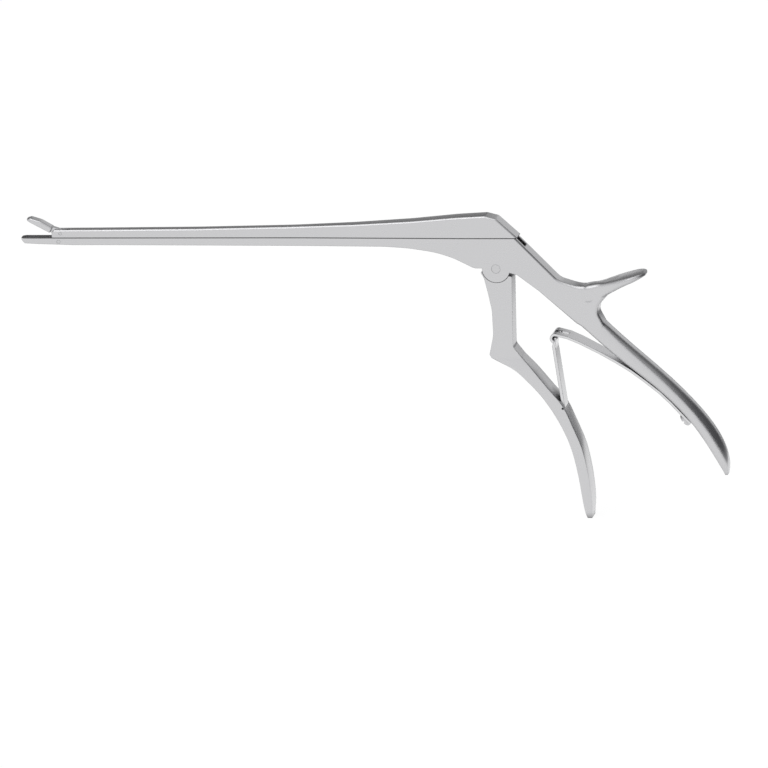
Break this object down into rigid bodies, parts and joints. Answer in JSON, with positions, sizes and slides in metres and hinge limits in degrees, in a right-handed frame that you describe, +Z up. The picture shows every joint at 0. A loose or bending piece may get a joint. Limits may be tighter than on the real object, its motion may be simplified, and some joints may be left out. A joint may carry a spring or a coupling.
{
  "type": "bone rongeur",
  "caption": "Slim hand-held surgical bone rongeur: squeezing the sprung handles slides the upper shaft forward and shuts a hinged cupped jaw.",
  "frame": {"origin": "on the ground plane under the middle of the instrument's length and width", "axes": "X along the shafts, from the jaws at -X to the handles at +X; Y across; Z up, with the grips hanging down"},
  "size_m": [0.2503, 0.011, 0.1113],
  "materials": {
    "satin_steel": "satin glass-bead and brushed stainless steel",
    "spring_steel": "ground and polished spring steel",
    "pin_steel": "ground flush with the satin flanks"
  },
  "bodies": {
    "frame": {"fixed_shaft": "satin_steel", "handle_pivot_pin": "pin_steel", "jaw_hinge_pin": "pin_steel", "rear_spring_screw": "pin_steel"},
    "slider": {"sliding_shaft": "satin_steel", "jaw_drive_pin": "pin_steel"},
    "jaw": {"upper_jaw": "satin_steel"},
    "handle": {"front_handle": "satin_steel", "front_leaf_pin": "pin_steel"},
    "front_leaf": {"front_leaf_spring": "spring_steel"},
    "rear_leaf": {"rear_leaf_spring": "spring_steel"}
  },
  "joints": [
    {"name": "handle_squeeze", "type": "hinge", "parent": "frame", "child": "handle", "pos_m": [0.0465, 0, 0.092], "axis": [0, -1, 0], "range_deg": [0, 6.84], "stiffness_Nm_per_rad": 12, "springref_deg": -3.44},
    {"name": "shaft_slide", "type": "slide", "parent": "frame", "child": "slider", "axis": [-1, 0, 0], "range_m": [0, 0.0016]},
    {"name": "jaw_close", "type": "hinge", "parent": "frame", "child": "jaw", "pos_m": [-0.1112, 0, 0.1018], "axis": [0, -1, 0], "range_deg": [0, 29.9]},
    {"name": "front_leaf_bend", "type": "hinge", "parent": "handle", "child": "front_leaf", "pos_m": [0.0674, 0, 0.0421], "axis": [0, -1, 0], "range_deg": [0, 4.3], "deforming": ["front_leaf_spring"]},
    {"name": "rear_leaf_bend", "type": "hinge", "parent": "frame", "child": "rear_leaf", "pos_m": [0.0921, 0, 0.0548], "axis": [0, 1, 0], "range_deg": [0, 5.15], "deforming": ["rear_leaf_spring"]}
  ],
  "couplings": [
    {"joint": "shaft_slide", "follows": "handle_squeeze", "m_per_rad": 0.013},
    {"joint": "jaw_close", "follows": "handle_squeeze", "ratio": 4.2386},
    {"joint": "front_leaf_bend", "follows": "handle_squeeze", "ratio": 0.61},
    {"joint": "rear_leaf_bend", "follows": "handle_squeeze", "ratio": 0.73}
  ]
}
